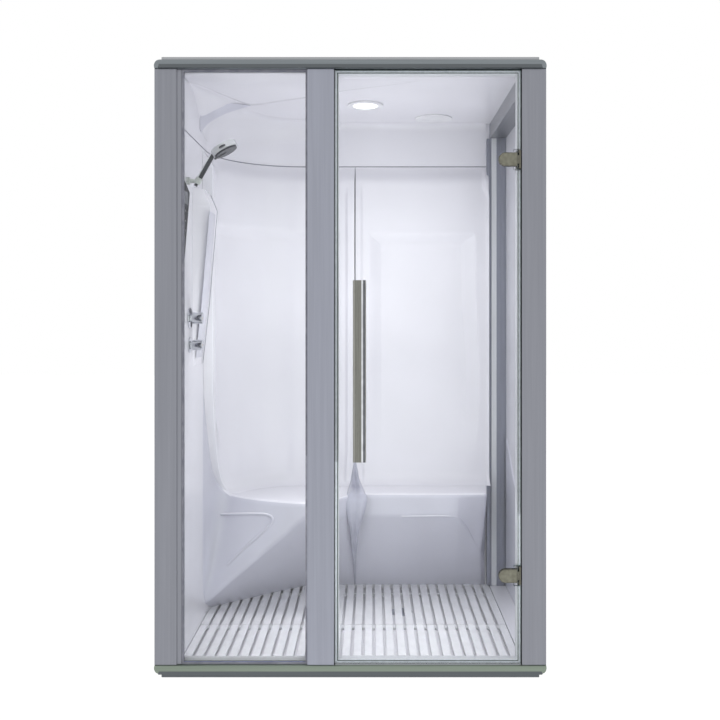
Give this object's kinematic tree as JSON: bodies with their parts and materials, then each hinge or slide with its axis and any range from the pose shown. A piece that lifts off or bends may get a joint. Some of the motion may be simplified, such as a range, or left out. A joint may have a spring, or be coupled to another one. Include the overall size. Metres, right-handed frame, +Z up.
{
  "type": "steam shower cabin",
  "caption": "Free-standing steam shower cabin with an aluminium front frame, a fixed pane, a hinged glass door, moulded seats, slatted floor mats, taps and a hand shower.",
  "frame": {"origin": "on the floor, under the middle of the cabin's bounding box, door handle included", "axes": "+Z up, +X to the right of somebody facing the door, the door faces -Y"},
  "size_m": [1.4, 0.99, 2.22],
  "materials": {
    "anodised_aluminium": "satin anodised",
    "clear_glass": "clear toughened",
    "clear_seal": "translucent",
    "hinge_metal": "aged nickel",
    "handle_metal": "satin",
    "white_acrylic": "gloss",
    "mat_plastic": "satin",
    "dark_panel": "gloss black",
    "chrome": "polished",
    "grey_plastic": "moulded",
    "shower_plastic": "satin chrome plated",
    "light_body": "white enamel",
    "lamp_lens": "frosted",
    "brass": "machined",
    "copper": "drawn tube",
    "steel": "brushed"
  },
  "bodies": {
    "cabin": {"left_stile": "anodised_aluminium", "mullion": "anodised_aluminium", "right_stile": "anodised_aluminium", "top_rail": "anodised_aluminium", "bottom_rail": "anodised_aluminium", "trim_strips": "anodised_aluminium", "right_rear_post": "anodised_aluminium", "left_rear_post": "anodised_aluminium", "side_top_rail": "anodised_aluminium", "left_top_rail": "anodised_aluminium", "rear_top_rail": "anodised_aluminium", "door_stop_frame": "anodised_aluminium", "fixed_glass": "clear_glass", "fixed_glass_gasket": "clear_seal", "door_gasket": "clear_seal", "shell_joint_seal": "clear_seal", "hinge_brackets": "hinge_metal", "hinge_pins": "hinge_metal", "left_back_shell": "white_acrylic", "right_back_shell": "white_acrylic", "right_side_shell": "white_acrylic", "roof_shell": "white_acrylic", "left_seat": "white_acrylic", "right_seat": "white_acrylic", "floor_tray": "white_acrylic", "wall_console": "white_acrylic", "rear_floor_mat": "mat_plastic", "control_panel": "dark_panel", "tap_wall_plates": "chrome", "shower_holder_base": "chrome", "drain_cover": "chrome", "drain_trap": "grey_plastic", "levelling_feet": "grey_plastic", "control_box": "grey_plastic", "downlight_body": "light_body", "ceiling_speaker": "light_body", "downlight_lens": "lamp_lens", "mixer_valve": "brass", "fill_valve": "brass", "water_pipes": "copper", "steam_pipe": "copper", "steam_tank": "steel", "tank_lid": "steel", "heating_element": "steel", "steam_nozzle": "steel", "flange_bolts": "steel"},
    "door": {"door_glass": "clear_glass", "door_bottom_seal": "clear_seal", "hinge_outer_plates": "hinge_metal", "hinge_inner_plates": "hinge_metal", "hinge_clamp_screws": "hinge_metal", "outer_handle": "handle_metal", "inner_handle": "handle_metal", "handle_bolts": "handle_metal"},
    "thermostat_knob": {"thermostat_knob": "chrome"},
    "diverter_knob": {"diverter_knob": "chrome"},
    "shower_holder": {"shower_holder": "grey_plastic"},
    "hand_shower": {"hand_shower": "shower_plastic"},
    "spray_face": {"spray_face": "shower_plastic"},
    "front_mat": {"front_floor_mat": "mat_plastic"}
  },
  "joints": [
    {"name": "door_swing", "type": "hinge", "parent": "cabin", "child": "door", "pos_m": [0.607, -0.438, 1.1], "axis": [0, 0, 1], "range_deg": [0, 100]},
    {"name": "thermostat_turn", "type": "hinge", "parent": "cabin", "child": "thermostat_knob", "pos_m": [-0.59, -0.264, 1.285], "axis": [1, 0, 0], "range_deg": [-100, 100]},
    {"name": "diverter_turn", "type": "hinge", "parent": "cabin", "child": "diverter_knob", "pos_m": [-0.59, -0.264, 1.183], "axis": [1, 0, 0], "range_deg": [-90, 90]},
    {"name": "holder_swivel", "type": "hinge", "parent": "cabin", "child": "shower_holder", "pos_m": [-0.6, -0.315, 1.796], "axis": [1, 0, 0], "range_deg": [-30, 15]},
    {"name": "shower_lift", "type": "slide", "parent": "shower_holder", "child": "hand_shower", "axis": [0.4848, 0, 0.8746], "range_m": [0, 0.08]},
    {"name": "spray_turn", "type": "hinge", "parent": "hand_shower", "child": "spray_face", "pos_m": [-0.47279, -0.315, 1.91671], "axis": [0.4848, 0, -0.8746], "range_deg": [-30, 30]},
    {"name": "front_mat_lift", "type": "slide", "parent": "cabin", "child": "front_mat", "axis": [0, 0, 1], "range_m": [0, 0.15]}
  ]
}
